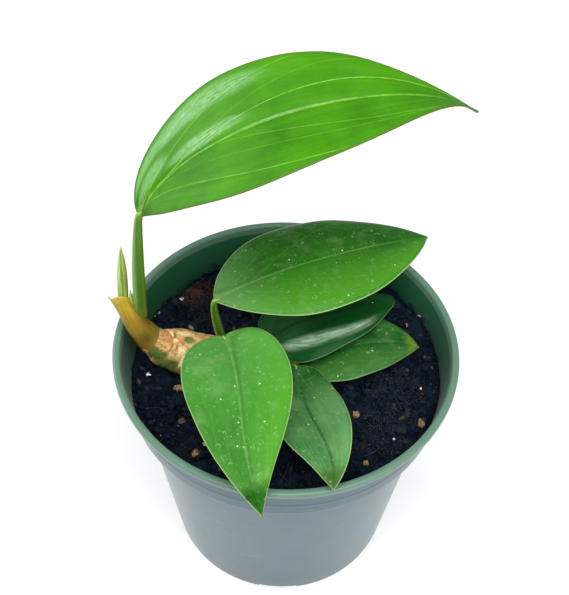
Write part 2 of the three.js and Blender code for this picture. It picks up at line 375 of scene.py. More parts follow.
VEIN_DENTS = ((0.12, 0.5), (0.16, 2.0))  # depth and reach of a side vein's groove and hollow
VEIN_SPREAD = 0.12  # share of the length over which side veins leave the midrib

RHIZOME = [
    (-44.2, 0.8, 15.4, 3.4), (-42.4, 0.7, 13.0, 4.25), (-40.2, 0.8, 10.4, 4.9),
    (-38.4, 1.1, 8.6, 6.0), (-34, 2, 6, 7), (-27.5, 1.6, 4, 7.2),
    (-20, 2.5, 2.4, 6.4), (-12, 3.4, 0.8, 5), (-6, 3, -0.4, 3.6), (-3.2, 2.6, -0.8, 1.6),
]
SHEATH = [
    (-41.8, 0.7, 12.2, 4.65), (-43.4, 0.8, 14.5, 4.25), (-45.8, 1.3, 18.2, 3.7),
    (-48.1, 2.6, 22.2, 3.3), (-50.0, 4.2, 26.2, 3.1), (-51.5, 5.4, 32.3, 3.65),
]
SHEATH_WALL = 0.35
SHEATH_SLANT = 0.17  # how much farther along the sheath starts on its upper side
SHOOT = [
    (-50.6, 5.8, 24, 1.7), (-50.5, 7.4, 31, 1.75), (-50.3, 7.7, 37, 1.55),
    (-50.1, 7.9, 42, 0.95), (-50, 8, 47, 0.12),
]


def half_width_at(leaf, u, v):
    """Half width at u along the blade; a blunt blade lists each side's end as (width, length)."""
    widest = leaf["fullness"] / (leaf["fullness"] + leaf["taper"])
    rise = (u / widest) ** leaf["fullness"]
    fall = ((1 - u) / (1 - widest)) ** leaf["taper"]
    width = leaf["half_width"] * rise * fall
    if "blunt" in leaf:
        for side, (blunt, length) in zip((-1, 1), leaf["blunt"]):
            left = np.clip((1 - u) / length, 0, 1)
            end = blunt * np.sqrt(left * (2 - left))
            joined = (np.maximum(width, 0) ** 6 + end ** 6) ** (1 / 6)
            width = np.where((side * v > 0) & (u > 0.5), joined, width)
    return np.maximum(width, BLADE_TIP)


def blade_sheet(leaf, u, v):
    """Middle surface of a blade: points, normals and half widths at (u, v)."""
    a, b, c, d = (np.array(p, float) for p in leaf["midrib"])
    t = u[:, None]
    spine = (1 - t) ** 3 * a + 3 * t * (1 - t) ** 2 * b + 3 * t * t * (1 - t) * c + t**3 * d
    tangent = unit(3 * (1 - t) ** 2 * (b - a) + 6 * t * (1 - t) * (c - b) + 3 * t * t * (d - c))
    flat_across = unit(np.cross(np.array([0.0, 0.0, 1.0]), tangent))
    flat_up = np.cross(tangent, flat_across)
    roll = np.radians(np.interp(u, (0, 1), leaf["roll"]))[:, None]
    across = flat_across * np.cos(roll) + flat_up * np.sin(roll)
    normal = np.cross(tangent, across)
    width = half_width_at(leaf, u, v)
    reach = v * width
    lift = leaf["cup"] * abs(reach) - leaf["droop"] * reach**2 / leaf["half_width"]
    lift += leaf["wave"] * v * v * np.sin(19 * u + 2 * np.sign(v)) * np.sin(math.pi * u)
    lift -= leaf["curl"] * np.clip((abs(v) - 0.8) / 0.2, 0, 1) ** 2 * np.sin(math.pi * u)
    set_back = leaf["lobe"] * abs(reach / leaf["half_width"]) ** 1.5 * (1 - u) ** 8
    points = spine + across * reach[:, None] + normal * lift[:, None] - tangent * set_back[:, None]
    return points, normal, width


def blade_mesh(leaf):
    """Closed blade with a sunk midrib above, a ridge below, and pressed-in side veins."""
    rows, columns = leaf["rows"], leaf["columns"]
    along = (1 - np.cos(math.pi * np.linspace(0, 1, rows))) / 2
    side = np.linspace(-1, 1, columns)
    side = np.sign(side) * abs(side) ** 0.9
    u, v = np.repeat(along, columns), np.tile(side, rows)
    points, normal, width = blade_sheet(leaf, u, v)

    spread = np.maximum(1 - np.exp(-u / VEIN_SPREAD), 0.04)
    stream = v / spread
    span = width * spread
    thickness = BLADE_EDGE + (BLADE_THICKNESS - BLADE_EDGE) * (1 - abs(v) ** 6)
    rib = np.exp(-(v * width / (0.35 + 0.75 * (1 - u))) ** 2)
    dent = MIDRIB_DENT * rib * (1 - u) ** 0.5
    for sign, start, slope, strength in leaf["veins"]:
        level = start + slope * u
        distance = (stream - sign * level) * span
        pressed = np.clip(level / 0.06, 0, 1) * strength * (1 - u) ** 0.5
        for depth, reach in VEIN_DENTS:
            dent = dent + depth * pressed * np.exp(-(distance / reach) ** 2)
    ridge = MIDRIB_RIDGE * rib * (1 - 0.8 * u)
    top = points + normal * (thickness / 2 - dent)[:, None]
    below = points - normal * (thickness / 2 + ridge)[:, None]

    count = rows * columns
    faces = grid_faces(rows, columns, flip=True)
    faces += grid_faces(rows, columns, first=count)
    border = list(range(columns))
    border += [i * columns + columns - 1 for i in range(1, rows)]
    border += [(rows - 1) * columns + j for j in range(columns - 2, -1, -1)]
    border += [i * columns for i in range(rows - 2, 0, -1)]
    for here, there in zip(border, border[1:] + border[:1]):
        faces.append((here, there, there + count, here + count))

    def twice(values):
        return np.tile(values, 2)

    stored = {
        "along": twice(u), "across": twice(v), "stream": twice(stream), "span": twice(span),
        "edge": twice((1 - abs(v)) * width), "under": np.repeat((0.0, 1.0), count),
    }
    return np.vstack([top, below]), faces, stored


def centre(low, high):
    return (np.array(low) + np.array(high)) / 2


BLADES = [blade_mesh(leaf) for leaf in LEAVES]
big_leaf = BLADES[0][0]
PLANT_AT = centre(*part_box("leaf_1_blade")) / MM - centre(big_leaf.min(0), big_leaf.max(0))

# ---- finishes


def leaf_finish(name, tone):
    """Waxy blade: parallel striping, pale veins, margin, water marks and a paler underside, with
    painted light too: a sunny side, painted shade in the midrib groove and at the edge, a painted sheen
    and painted highlights.
    """
    f = Finish(name)
    where = f.place()
    along, across = f.stored("along"), f.stored("across")
    stream, span, edge = f.stored("stream"), f.stored("span"), f.stored("edge")

    def stripes(sideways, lengthways, detail, rough):
        course = f.vector(stream * sideways, along * lengthways, across)
        return f.noise(course, 1.0, detail, rough)

    patches = f.noise(where, 0.07, 4, 0.6)
    lanes = stripes(9, 1.6, 3, 0.6)
    fine_lanes = stripes(42, 6, 2, 0.6)
    grain = f.noise(where, 1.5, 4, 0.65)
    shade = patches * 0.5 + lanes * 0.28 + fine_lanes * 0.08 + grain * 0.14
    f.colour = f.mix(shade.between(0.28, 0.72), tone["deep"], tone["bright"])
    sunny = (across * tone["sunny_side"]).between(-0.2, 0.9) * tone["sunny"]
    f.paint(sunny, tone["lit"])
    # Colour toward the stalk; on the sixth leaf this dark base is painted shade where the leaf above
    # covers it.
    base = along.between(tone["base_to"], 0.0) * tone["base"]
    f.paint(base, tone["base_colour"])

    rib = (across * span).line(tone["rib_width"]) * along.between(0.99, 0.7) * tone["rib"]
    # Painted shade: the deep colour laid along the groove beside the sunk midrib.
    groove = (across * span - tone["groove_at"]).line(0.9) * along.between(1.0, 0.8)
    f.paint(groove * tone["groove"], tone["deep"])
    vein = rib
    for sign, start, slope, strength in tone["veins"]:
        level = along * slope + start
        thread = ((stream - level * sign) * span).line(0.27)
        vein = vein.largest(thread * level.between(0.0, 0.08) * edge.between(0.3, 1.6) * strength)
    broken = f.noise(where, 0.3, 3).between(0.3, 0.62)
    vein = vein * (0.4 + broken * 0.6)
    f.paint(vein * tone["vein"], tone["vein_colour"])

    tip = along.between(tone["tip_from"], tone["tip_from"] + 0.09)
    f.paint(tip * tone["tip"], tone["tip_colour"])
    shadow_edge = (edge - 0.75).line(0.5) * 0.3
    f.paint(shadow_edge, tone["deep"])
    margin = edge.between(tone["margin"], 0.1) * tone["margin_strength"]
    f.paint(margin, tone["margin_colour"])

    specks = f.dots(where, 0.55, (0.06, 0.19), (1 - tone["dust"], 1.01 - tone["dust"]))
    dry_share = 1 - tone["drops"] * 1.45
    wet = f.cell_colour(where, 0.5).between(dry_share, dry_share + 0.02)
    ring_break = f.noise(where, 0.9, 2).between(0.46, 0.62)
    rings = (f.cells(where, 0.5) - 0.3).line(0.13) * wet * ring_break
    # Smudges and blotches: real marks on most blades, and on the sixth a painted sheen, a pale
    # grey-green cast that stands in for reflected light.
    smudge_and_sheen = f.noise(where, 0.85, 4, 0.6).between(0.56, 0.74) * tone["haze"] * 1.6
    blotch = f.noise(where, 0.16, 3, 0.6).between(0.5, 0.75) * tone["haze"]
    f.paint(rings * 0.55, tone["mark_and_sheen_colour"])
    f.paint(smudge_and_sheen.largest(blotch), tone["mark_and_sheen_colour"])
    # Painted highlight: a pale streak along the blade that stands in for a gloss reflection of the
    # lamps.
    film_grain = stripes(16, 7, 4, 0.7)
    film = (across + 0.46 + along * 0.36).line(0.24) * along.between(0.0, 0.1)
    film = film * along.between(0.85, 0.6) * (0.3 + film_grain.between(0.35, 0.65) * 0.7) * tone["film"]
    f.paint(film, (170, 200, 168))
    f.paint(specks, (214, 236, 204))
    blemish = f.dots(where, 0.11, (0.06, 0.1), (0.93, 0.94))
    f.paint(blemish * 0.8, (24, 58, 20))

    hair_lanes = stripes(70, 9, 3, 0.7)
    hair_dots = stripes(60, 60, 3, 0.7)
    polish = 0.0
    for at_along, at_across, half_long, half_wide in tone["polished"]:
        far = ((along - at_along) / half_long) ** 2 + ((across - at_across) / half_wide) ** 2
        polish = (far + (patches - 0.5) * 1.2).between(1.3, 0.1).largest(polish)
    streaks = hair_lanes.between(0.38, 0.62) * 0.42 + hair_dots.between(0.42, 0.6) * 0.45
    painted_highlight_spots = polish * (streaks + 0.13)
    # Painted highlight: a pale streaky colour laid on the glossy spots, standing in for reflections of
    # the side window.
    f.paint(painted_highlight_spots * 0.55, (166, 214, 156))

    under = f.stored("under")
    f.paint(under, tone["under"])
    rough = tone["rough"] + patches * 0.08 + fine_lanes * 0.08 + specks * 0.2 + under * 0.25
    rough = rough - painted_highlight_spots * tone["polish"]
    skin = grain * 1.1 + fine_lanes * 1.3 + lanes * 1.0 - vein * 0.5 + specks * 1.5
    return f.surface(rough, f.bump(skin, 0.5, 0.06), tone["gloss"])


def stalk_finish(name, body, light, foot):
    """Fleshy stalk: smooth ribs along its length, a painted highlight down one side and paler ends."""
    f = Finish(name)
    s, angle = f.stored("along"), f.stored("angle")
    ribs = f.noise(f.vector(angle * 1.6, s * 0.5, 0.0), 2.0, 2)
    speckle = f.noise(f.place(), 0.9, 3)
    f.colour = f.mix(ribs.between(0.3, 0.75) * 0.35, body, light)
    # Painted highlight: a light strip down one side of the stalk.
    painted_highlight_side = (angle - 3.5).line(1.1)
    f.paint(painted_highlight_side * 0.8, light)
    f.paint(speckle.between(0.62, 0.75) * 0.25, light)
    f.paint(s.between(0.1, 0.0) * 0.7, foot)
    f.paint((s - 0.62).line(0.07) * 0.2, (132, 166, 72))
    skin = ribs + speckle * 0.4
    return f.surface(0.32 + speckle * 0.12, f.bump(skin, 0.3, 0.25), 0.35)


def rhizome_finish():
    """Tan waxy skin with green patches, cream streaks, orange scars, brown cracks and painted shade low
    down.
    """
    f = Finish("rhizome_skin")
    where = f.place()
    s, angle = f.stored("along"), f.stored("angle")
    broad = f.noise(f.place((1, 1.6, 1.6)), 0.12, 3, 0.55)
    swirl = f.noise(f.vector(s * 26 + angle * 2.2, angle * 2.6 - s * 9, broad), 1.0, 5, 0.6)
    fine = f.noise(f.vector(s * 60 + angle * 5, angle * 9 - s * 20, broad), 1.0, 4, 0.65)
    f.colour = f.mix(swirl.between(0.33, 0.6), (164, 116, 58), (216, 182, 114))
    f.paint(fine.between(0.52, 0.74) * 0.45, (126, 70, 36))
    f.paint(broad.between(0.5, 0.68) * 0.5, (196, 132, 84))
    green = (f.stored("green") + (swirl - 0.5) * 1.3).between(0.3, 0.65)
    f.paint(green * 0.9, (64, 98, 33))
    cream = (f.stored("cream") + (fine - 0.5) * 1.4).between(0.3, 0.75)
    f.paint(cream * 0.9, (236, 216, 156))
    scar = (f.stored("scar") + (fine - 0.5) * 1.2).between(0.35, 0.8)
    f.paint(scar * 0.85, (186, 78, 40))
    f.paint(f.stored("crack") * 0.8, (96, 54, 26))
    # Painted shade: darker and greener toward the stem's underside near the soil.
    painted_shade_below = f.stored("height").between(6.5, -1.5) * 0.85
    f.paint(painted_shade_below, (50, 62, 24))
    skin = swirl + fine * 0.7 + f.noise(where, 1.4, 4, 0.6) * 0.5 - scar * 0.6
    return f.surface(0.36 + broad * 0.2, f.bump(skin, 0.6, 0.35), 0.45)


def sheath_finish():
    """Dry golden bract with fine lengthwise fibres, browner at its foot."""
    f = Finish("sheath_skin")
    s, angle = f.stored("along"), f.stored("angle")
    fibres = f.noise(f.vector(angle * 6, s * 1.2, 0.0), 1.6, 4, 0.65)
    broad = f.noise(f.place(), 0.18, 2)
    f.colour = f.ramp(s, [(0.0, (180, 130, 72)), (0.12, (138, 110, 46)),
                        (0.28, (118, 96, 26)), (0.55, (148, 118, 22)),
                        (0.8, (190, 162, 44)), (1.0, (216, 190, 66))])
    f.paint(fibres.between(0.4, 0.68) * 0.5, (92, 74, 18))
    olive_side = f.stored("olive")
    f.paint(olive_side * 0.85, (78, 66, 20))
    f.paint(broad.between(0.5, 0.7) * 0.35, (96, 100, 24))
    return f.surface(0.44 + fibres * 0.15, f.bump(fibres, 0.4, 0.25), 0.2)


def shoot_finish():
    """Rolled new leaf: pale green, with a darker seam where it overlaps itself."""
    f = Finish("shoot_skin")
    s, angle = f.stored("along"), f.stored("angle")
    lanes = f.noise(f.vector(angle * 5, s * 2, 0.0), 1.4, 3)
    f.colour = f.mix(lanes.between(0.35, 0.65), (136, 178, 62), (198, 220, 120))
    f.paint(f.stored("seam") * 0.5, (54, 92, 18))
    f.paint(s.between(0.9, 1.0) * 0.6, (196, 206, 130))
    return f.surface(0.38 + lanes * 0.1, f.bump(lanes, 0.3, 0.2))


def pot_finish():
    """Green moulded plastic: deep green inside with painted shade deeper down, and a blue-grey outside
    that is partly a bloom and partly a painted sheen.
    """
    f = Finish("pot_plastic")
    where = f.place()
    outside, height = f.stored("outside"), f.stored("height")
    mottle = f.noise(where, 0.05, 3, 0.55)
    streak = f.noise(f.place((1, 1, 0.12)), 0.16, 3, 0.6)
    scuff = f.noise(f.place((1, 1, 3.5)), 0.5, 4, 0.7)
    # Painted shade: the inside grows darker further down into the pot.
    inside = f.mix(height.between(70, 89), (0, 46, 30), (32, 92, 58))
    inside = f.mix(mottle.between(0.4, 0.7) * 0.5, inside, (18, 70, 44))
    # The outside's blue-grey is partly a bloom on the plastic and partly a painted sheen, a reflection
    # of the pale surroundings laid into the colour.
    bloom_and_sheen = f.mix((streak * 0.3 + mottle * 0.7).between(0.3, 0.7), (44, 76, 86),
                  (60, 93, 104))
    bloom_and_sheen = f.mix(scuff.between(0.56, 0.78) * 0.35, bloom_and_sheen, (128, 148, 152))
    wiped = f.noise(f.place((0.1, 0.1, 2.4)), 0.7, 4, 0.65)
    bloom_and_sheen = f.mix(wiped.between(0.56, 0.78) * 0.4, bloom_and_sheen, (120, 146, 154))
    bloom_and_sheen = f.mix(wiped.between(0.56, 0.3) * 0.3, bloom_and_sheen, (40, 62, 70))
    greener = height.between(80, 88) * 0.75 + height.between(8, 0) * 0.35
    bloom_and_sheen = f.mix(greener, bloom_and_sheen, (82, 114, 96))
    f.colour = f.mix(outside, inside, bloom_and_sheen)
    lip = height.between(86.2, 86.8)
    f.paint(lip * 0.9, (92, 126, 106))
    dirt = f.noise(where, 0.35, 5, 0.7).between(0.63, 0.72) * (1 - outside) * 0.6
    f.paint(dirt, (40, 46, 38))
    skin = f.noise(where, 1.6, 3) + scuff * 0.4 + streak * 0.5
    return f.surface(0.3 + mottle * 0.16 + dirt * 0.3, f.bump(skin, 0.12, 0.2),
                     Sheen_Weight=0.2, Sheen_Roughness=0.35)


def soil_finish():
    """Moist peat: near black with a cold cast, brown crumbs and pale grit."""
    f = Finish("soil_mix")
    where = f.place()
    clump = f.noise(where, 0.22, 5, 0.65)
    crumb = f.noise(where, 1.1, 5, 0.7)
    f.colour = f.mix(clump.between(0.4, 0.62), (1, 8, 20), (12, 26, 42))
    f.paint(crumb.between(0.58, 0.74) * 0.4, (32, 38, 42))
    rust = f.noise(where, 0.09, 2).between(0.62, 0.72) * crumb.between(0.45, 0.6)
    f.paint(rust * 0.6, (96, 56, 34))
    pale = f.dots(where, 0.8, (0.08, 0.2), (0.93, 0.95))
    f.paint(pale * 0.8, (170, 164, 150))
    skin = clump * 1.2 + crumb
    return f.surface(0.6 + crumb * 0.3, f.bump(skin, 0.9, 0.5), 0.1)


def crumb_finish():
    """Loose crumbs, each with its own tint from black peat to tan wood."""
    f = Finish("soil_crumb")
    where, tint = f.place(), f.stored("tint")
    grain = f.noise(where, 1.8, 4, 0.7)
    f.colour = f.ramp(tint, [(0.0, (2, 10, 22)), (0.78, (15, 28, 42)),
                           (0.95, (38, 42, 46)), (0.985, (98, 78, 56)),
                           (1.0, (190, 182, 164))])
    f.paint(grain.between(0.5, 0.75) * 0.25, (54, 54, 54))
    return f.surface(0.6 + grain * 0.3, f.bump(grain, 0.6, 0.3), 0.1)


def lump_finish(name, dark, light, spot):
    """Bark, stone or perlite: two tones, pits and a few spots."""
    f = Finish(name)
    where = f.place()
    grain = f.noise(f.place((1, 1, 2.2)), 1.1, 5, 0.7)
    pits = f.cells(where, 2.4)
    f.colour = f.mix(grain.between(0.35, 0.68), dark, light)
    f.paint(pits.between(0.3, 0.08) * 0.5, spot)
    return f.surface(0.72 + grain * 0.2, f.bump(grain + pits, 0.8, 0.3), 0.4)


LUMP_TONES = {
    "bark": ((96, 70, 44), (170, 138, 94), (60, 42, 28)),
    "rusty_bark": ((48, 28, 24), (98, 58, 42), (30, 20, 18)),
    "mossy_bark": ((112, 104, 44), (178, 168, 84), (84, 66, 30)),
    "perlite": ((204, 200, 188), (244, 242, 234), (160, 152, 136)),
    "pebble_stone": ((112, 82, 58), (168, 132, 98), (84, 58, 40)),
    "coir": ((18, 28, 38), (60, 68, 74), (20, 26, 32)),
}


def root_finish():
    """Pale fleshy root."""
    f = Finish("root_skin")
    grain = f.noise(f.place(), 0.8, 4)
    f.colour = f.mix(grain.between(0.35, 0.7), (168, 146, 104), (226, 210, 170))
    return f.surface(0.6 + grain * 0.2, f.bump(grain, 0.4, 0.2))


def floor_finish():
    """Studio floor that glows a little, so that it stays white under the pot."""
    f = Finish("studio_floor")
    tone = f.noise(f.place(), 0.004, 2)
    f.colour = f.mix(tone, (0.5, 0.505, 0.51, 1), (0.52, 0.52, 0.52, 1))
    return f.surface(0.7, gloss=0.1, Emission_Color=(1, 1, 1, 1), Emission_Strength=0.48)


# ---- camera, light and floor
CAMERA_RISE = math.radians(49.34)
CAMERA_DISTANCE = 359.2 * MM
CAMERA_AIM = Vector((-1.1, 0, 112)) * MM
CAMERA_LENS = 73.09
CAMERA_ROLL = 0.035


def set_camera():
    """Looks down at the plant from the front, rolled a little to one side."""
    data = bpy.data.cameras.new("camera")
    data.lens = CAMERA_LENS
    data.sensor_width = 36
    data.clip_start, data.clip_end = 0.01, 20
    camera = add_object("camera", data)
    back = Vector((0, -math.cos(CAMERA_RISE), math.sin(CAMERA_RISE)))
    camera.location = CAMERA_AIM + back * CAMERA_DISTANCE
    facing = (-back).to_track_quat("-Z", "Y").to_matrix().to_4x4()
    turn = facing @ facing.Rotation(CAMERA_ROLL, 4, "Z")
    camera.rotation_euler = turn.to_euler()
    bpy.context.scene.camera = camera


def add_softbox(name, azimuth, rise, away, size, watts):
    """A rectangular soft light facing the plant from a direction in degrees."""
    turn, lift = math.radians(azimuth), math.radians(rise)
    middle = Vector((0, 0, 0.12))
    toward = Vector((math.cos(turn) * math.cos(lift), math.sin(turn) * math.cos(lift),
                     math.sin(lift)))
    data = bpy.data.lights.new(name, "AREA")
    data.shape = "RECTANGLE"
    data.size, data.size_y = size
    data.energy = watts
    lamp = add_object(name, data)
    lamp.location = middle + toward * away
    lamp.rotation_euler = (-toward).to_track_quat("-Z", "Y").to_euler()


def set_studio():
    """Even surroundings, a soft key above, a side window that glosses the big leaf, and a floor."""
    world = bpy.data.worlds.new("studio")
    world.use_nodes = True
    world.node_tree.nodes["Background"].inputs["Color"].default_value = (0.93, 0.97, 1, 1)
    world.node_tree.nodes["Background"].inputs["Strength"].default_value = 0.3
    bpy.context.scene.world = world
    bpy.context.scene.view_settings.view_transform = "Standard"
    add_softbox("softbox_top", -85, 66, away=1.2, size=(1.2, 0.9), watts=21)
    add_softbox("softbox_window", 149, 29, away=1.0, size=(0.3, 0.44), watts=3.6)
    add_softbox("softbox_front", -40, 25, away=1.3, size=(0.8, 0.7), watts=4)

    mesh = bpy.data.meshes.new("floor")
    reach = 3.0
    corners = [(-1, -1), (1, -1), (1, 1), (-1, 1)]
    mesh.from_pydata([(x * reach, y * reach, 0) for x, y in corners], [], [(0, 1, 2, 3)])
    mesh.materials.append(floor_finish())
    add_object("floor", mesh)


# ---- pot
DRAIN_SLOTS = 6
DRAIN_SLOT_MM = (16, 13, 3.6)
POT_SIDES = 240
POT_CORNER = 0.7
SHARP_FROM = math.radians(40)


def rounded(profile, radius, steps=4):
    """Rounds each inner corner of an open outline."""
    smooth = [profile[0]]
    for before, corner, after in zip(profile, profile[1:], profile[2:]):
        before, corner, after = map(np.array, (before, corner, after))
        room = min(np.linalg.norm(before - corner), np.linalg.norm(after - corner)) / 2.2
        cut = min(radius, room)
        start = corner + unit(before - corner) * cut
        end = corner + unit(after - corner) * cut
        for t in np.linspace(0, 1, steps):
            smooth.append((1 - t) ** 2 * start + 2 * t * (1 - t) * corner + t**2 * end)
    smooth.append(profile[-1])
    return np.array(smooth, float)


def make_pot():
    """The pot turned from one outline, with drain slots cut through the floor's edge."""
    _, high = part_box("pot")
    rim, height = high.x / MM, high.z / MM
    wall = 1.2
    lip_width, lip_height = 2.2, 2.5
    collar_top, collar_foot = rim - 2.5, rim - 4
    step_at = height - 17.5
    body_top = collar_foot - 3.2
    foot = body_top - 9.8
    outer = [
        (0.01, 0), (foot - 0.2, 0), (foot + 0.2, 1.6), (body_top - 0.1, step_at - 0.6),
        (collar_foot - 0.2, step_at - 0.1), (collar_foot + 0.1, step_at + 1),
        (collar_foot + 0.55, step_at + 5.2), (collar_foot + 0.68, step_at + 5.8),
        (collar_foot + 0.62, step_at + 6.4), (collar_top, height - lip_height - 0.6),
        (collar_top + 0.5, height - lip_height), (rim, height - lip_height + 0.2),
        (rim, height - 0.1),
    ]
    inner = [
        (rim - lip_width, height), (collar_foot - wall, step_at + wall),
        (body_top - wall, step_at), (foot - wall, wall), (0.01, wall),
    ]
    profile = rounded(outer + inner, POT_CORNER)
    on_outside = np.zeros(len(profile))
    top_index = int(np.argmax(profile[:, 1]))
    on_outside[:top_index] = 1

    turn = turns(POT_SIDES)
    points = np.stack([
        np.outer(profile[:, 0], np.cos(turn)), np.outer(profile[:, 0], np.sin(turn)),
        np.repeat(profile[:, 1:], POT_SIDES, 1),
    ], -1).reshape(-1, 3)
    faces = closed_faces(len(profile), POT_SIDES)
    stored = {"outside": np.repeat(on_outside, POT_SIDES), "height": points[:, 2]}
    pot = build("nursery_pot", points, faces, pot_finish(), ["pot"], stored)

    cutters = []
    for i in range(DRAIN_SLOTS):
        block = bmesh.new()
        bmesh.ops.create_cube(block, size=1)
        mesh = bpy.data.meshes.new("drain_cutter")
        block.to_mesh(mesh)
        block.free()
        cutter = add_object("drain_cutter", mesh)
        angle = i / DRAIN_SLOTS * 2 * math.pi - math.pi / 2
        cutter.scale = Vector(DRAIN_SLOT_MM) * MM
        cutter.rotation_euler.z = angle
        cutter.location = Vector((math.cos(angle), math.sin(angle), 0)) * foot * MM
        cut = pot.modifiers.new("drain_slot", "BOOLEAN")
        cut.object = cutter
        cut.operation = "DIFFERENCE"
        cutters.append(cutter)
    bake_modifiers(pot)
    for cutter in cutters:
        bpy.data.objects.remove(cutter)
    pot.data.set_sharp_from_angle(angle=SHARP_FROM)
    return pot


def bake_modifiers(piece):
    """Turns a piece's modifiers into its mesh."""
    bpy.context.view_layer.update()
    graph = bpy.context.evaluated_depsgraph_get()
    baked = bpy.data.meshes.new_from_object(piece.evaluated_get(graph))
    piece.modifiers.clear()
    piece.data = baked


# ---- soil and grit
SOIL_RINGS = 96
SOIL_SIDES = 260
MOUNDS_MM, CLODS_MM, CRUMBLE_MM = 0.9, 1.1, 0.6
CRUMB_SEED = 11
OPEN_CRUMBS = 2000
WALL_CRUMBS = 300
CRUMB_REACH = 48.4  # how far from the pot's axis a crumb's middle may lie
WALL_CRUMB_REACH = 48.7
SOIL_EDGE = 49
FIBRE_REACH = 46
FIBRE_EDGE = 47.5


def soil_height(x, y):
    """Mean level of the soil's top, as the CAD solid has it, in plant millimetres."""
    return 0.03 * x + 0.7 * np.sin(0.21 * x + 0.8) * np.cos(0.17 * y - 0.4)


def make_soil(material):
    """A plug of soil with a rough top, filling the pot to its floor."""
    low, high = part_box("soil")
    top_radius = high.x / MM
    deep = low.z / MM - PLANT_AT[2]
    radii = np.linspace(0.02, 1, SOIL_RINGS) * top_radius
    turn = turns(SOIL_SIDES)
    x = np.outer(radii, np.cos(turn)).ravel()
    y = np.outer(radii, np.sin(turn)).ravel()
    flat = np.stack([x, y, np.zeros_like(x)], -1)
    z = soil_height(x, y)
    z = z + MOUNDS_MM * turbulence(flat, 9, 3, 1) + CLODS_MM * turbulence(flat, 3.2, 3, 2)
    z = z + CRUMBLE_MM * abs(turbulence(flat, 1.3, 2, 3))
    inset = np.repeat(radii / top_radius, SOIL_SIDES)
    z = np.where(inset > 0.985, z - 0.5, z)
    top = np.stack([x, y, z], -1)
    step = -4.5
    body_top, foot = top_radius - 2.9, 35.6
    lower = [(top_radius - 0.9, step + 2.2), (body_top - 0.6, step - 0.5), (foot, deep)]
    skirt = [
        np.stack([r * np.cos(turn), r * np.sin(turn), np.full_like(turn, h)], -1) for r, h in lower
    ]
    points = np.vstack([top, *skirt])
    faces = closed_faces(SOIL_RINGS + len(lower), SOIL_SIDES, flip=True)
    return build("potting_soil", points + PLANT_AT, faces, material, ["soil"])


def sphere_shape(level):
    """Points and faces of a unit sphere of triangles."""
    ball = bmesh.new()
    bmesh.ops.create_icosphere(ball, subdivisions=level, radius=1)
    ball.verts.ensure_lookup_table()
    points = np.array([v.co for v in ball.verts])
    faces = [tuple(v.index for v in face.verts) for face in ball.faces]
    ball.free()
    return points, faces


def lump_points(ball, half, seed, ruggedness=0.28, facets=1.1):
    """An irregular lump inside the given half sizes."""
    relief = turbulence(ball, 1 / facets, 3, seed)
    shaped = ball * (1 + ruggedness * relief)[:, None]
    shaped /= abs(shaped).max(0)
    return shaped * np.asarray(half)


def make_lump(node, material, ball):
    """An irregular lump in place of a plain CAD one, inside its box."""
    low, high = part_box(node)
    at, half = centre(low, high) / MM, (np.array(high) - np.array(low)) / 2 / MM
    seed = sum(map(ord, node)) % 97
    points = lump_points(ball[0], half, seed) + at
    build(node + "_grain", points, ball[1], material, [node])


def scatter(chance, reach):
    """A random place within reach of the pot's axis."""
    distance, angle = reach * math.sqrt(chance.random()), chance.uniform(0, 2 * math.pi)
    return distance * math.cos(angle), distance * math.sin(angle)


def make_crumbs(material, ball):
    """Loose peat crumbs and splinters on the soil and up against the wall, in one mesh."""
    chance = random.Random(CRUMB_SEED)
    parts, tints = [], []
    for i in range(OPEN_CRUMBS + WALL_CRUMBS):
        by_wall = i >= OPEN_CRUMBS
        x, y = scatter(chance, CRUMB_REACH)
        lift = 0.2 + 0.5 * chance.random()
        if by_wall:
            angle = math.atan2(y, x)
            x, y = WALL_CRUMB_REACH * math.cos(angle), WALL_CRUMB_REACH * math.sin(angle)
            lift = 2.6 * chance.random() ** 2
        size = 0.4 + 1.3 * chance.random() ** 2.5
        if by_wall:
            size *= 0.5
        half = [size * chance.uniform(0.6, 1.7), size * chance.uniform(0.5, 1.0),
                size * chance.uniform(0.4, 0.8)]
        if not by_wall and math.hypot(x, y) + max(half) > SOIL_EDGE:
            continue
        lump = lump_points(ball[0], half, i * 0.37, 0.55, 1.7)
        turn, tilt = chance.uniform(0, math.pi), chance.uniform(-0.5, 0.5)
        cos, sin = math.cos(turn), math.sin(turn)
        lifted = lump[:, 2] + lump[:, 0] * tilt
        spun = np.stack([lump[:, 0] * cos - lump[:, 1] * sin,
                         lump[:, 0] * sin + lump[:, 1] * cos, lifted], -1)
        parts.append((spun + (x, y, float(soil_height(x, y)) + lift), ball[1]))
        tints.append(np.full(len(lump), chance.random()))
    points, faces = joined(parts)
    stored = {"tint": np.concatenate(tints)}
    build("soil_crumbs", points + PLANT_AT, faces, material, (), stored)


def make_fibres(name, material, seed, number, lengths, thickness, spots=None):
    """Fine fibres lying across the soil, anywhere or thickly round the given (x, y, reach)."""
    chance = random.Random(seed)
    parts = []
    for _ in range(number):
        if spots:
            middle_x, middle_y, reach = chance.choice(spots)
            x, y = scatter(chance, reach)
            x, y = x + middle_x, y + middle_y
        else:
            x, y = scatter(chance, FIBRE_REACH)
        heading, bend = chance.uniform(0, 2 * math.pi), chance.uniform(-0.35, 0.35)
        length = chance.uniform(*lengths)
        arch = chance.uniform(0.2, 0.9)
        stops = []
        for k in range(4):
            lift = 0.9 + arch * math.sin(k / 3 * math.pi)
            radius = thickness * chance.uniform(0.6, 1.1)
            stops.append((x, y, float(soil_height(x, y)) + lift, radius))
            x += math.cos(heading) * length / 3
            y += math.sin(heading) * length / 3
            heading += bend
        if max(math.hypot(*stops[0][:2]), math.hypot(*stops[-1][:2])) > FIBRE_EDGE:
            continue
        parts.append(tube(stops, 9, 4)[:2])
    points, faces = joined(parts)
    build(name, points + PLANT_AT, faces, material)


